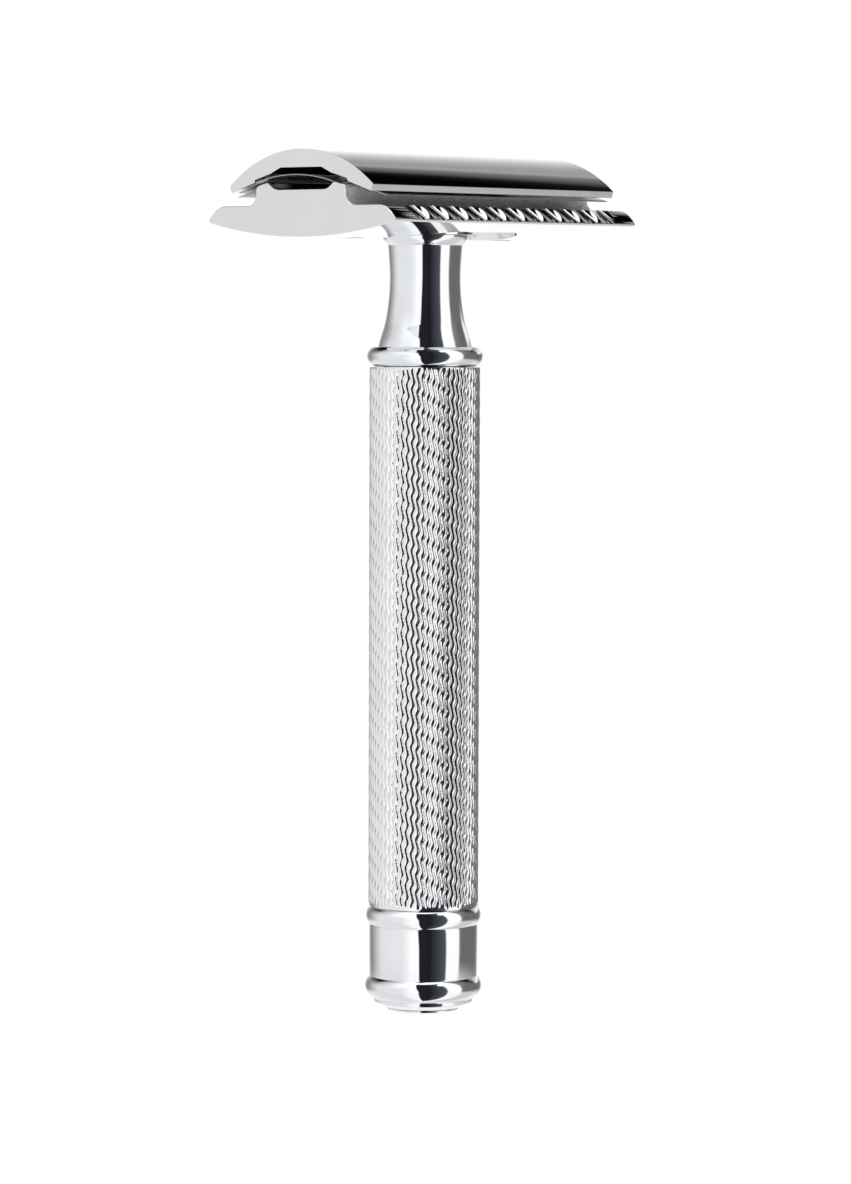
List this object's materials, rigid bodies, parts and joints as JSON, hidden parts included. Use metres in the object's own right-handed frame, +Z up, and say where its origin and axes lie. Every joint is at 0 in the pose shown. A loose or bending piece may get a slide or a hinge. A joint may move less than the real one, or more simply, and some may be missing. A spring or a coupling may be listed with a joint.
{
  "type": "safety razor",
  "caption": "Closed-comb double-edge safety razor with a loaded blade, a textured grip tube, a flared neck and a beaded foot; the head unscrews from the handle.",
  "frame": {"origin": "centre of the flat underside of the handle's foot, where the razor stands", "axes": "+Z up the handle's axis to the head, +X along the head's long axis, +Y across the head"},
  "size_m": [0.043, 0.0264, 0.094],
  "materials": {
    "top_cap": "mirror-polished chrome plate on cast zinc, slightly satin on the sawn-flat end faces",
    "base_plate": "polished chrome plate on cast zinc",
    "threaded_stud": "nickel-plated machined brass thread",
    "razor_blade": "rolled steel strip with ground bevels along both cutting edges",
    "neck": "mirror chrome on turned brass",
    "grip_tube": "chrome over fine wavy lengthwise grooves",
    "foot": "mirror chrome on turned brass, plain band between two beads",
    "end_button": "mirror chrome on turned brass"
  },
  "bodies": {
    "handle": {"neck": "neck", "grip_tube": "grip_tube", "foot": "foot", "end_button": "end_button"},
    "plate": {"base_plate": "base_plate"},
    "blade": {"razor_blade": "razor_blade"},
    "cap": {"top_cap": "top_cap", "threaded_stud": "threaded_stud"}
  },
  "joints": [
    {"name": "head_unscrew", "type": "hinge", "parent": "handle", "child": "plate", "pos_m": [0, 0, 0.0852], "axis": [0, 0, 1], "range_deg": [0, 3960]},
    {"name": "cap_lift", "type": "slide", "parent": "plate", "child": "cap", "axis": [0, 0, 1], "range_m": [0, 0.0088]},
    {"name": "blade_lift", "type": "slide", "parent": "plate", "child": "blade", "axis": [0, 0, 1], "range_m": [0, 0.0044]}
  ],
  "couplings": [
    {"joint": "cap_lift", "follows": "head_unscrew", "m_per_rad": 0.00012732},
    {"joint": "blade_lift", "follows": "head_unscrew", "m_per_rad": 0.000063661}
  ]
}
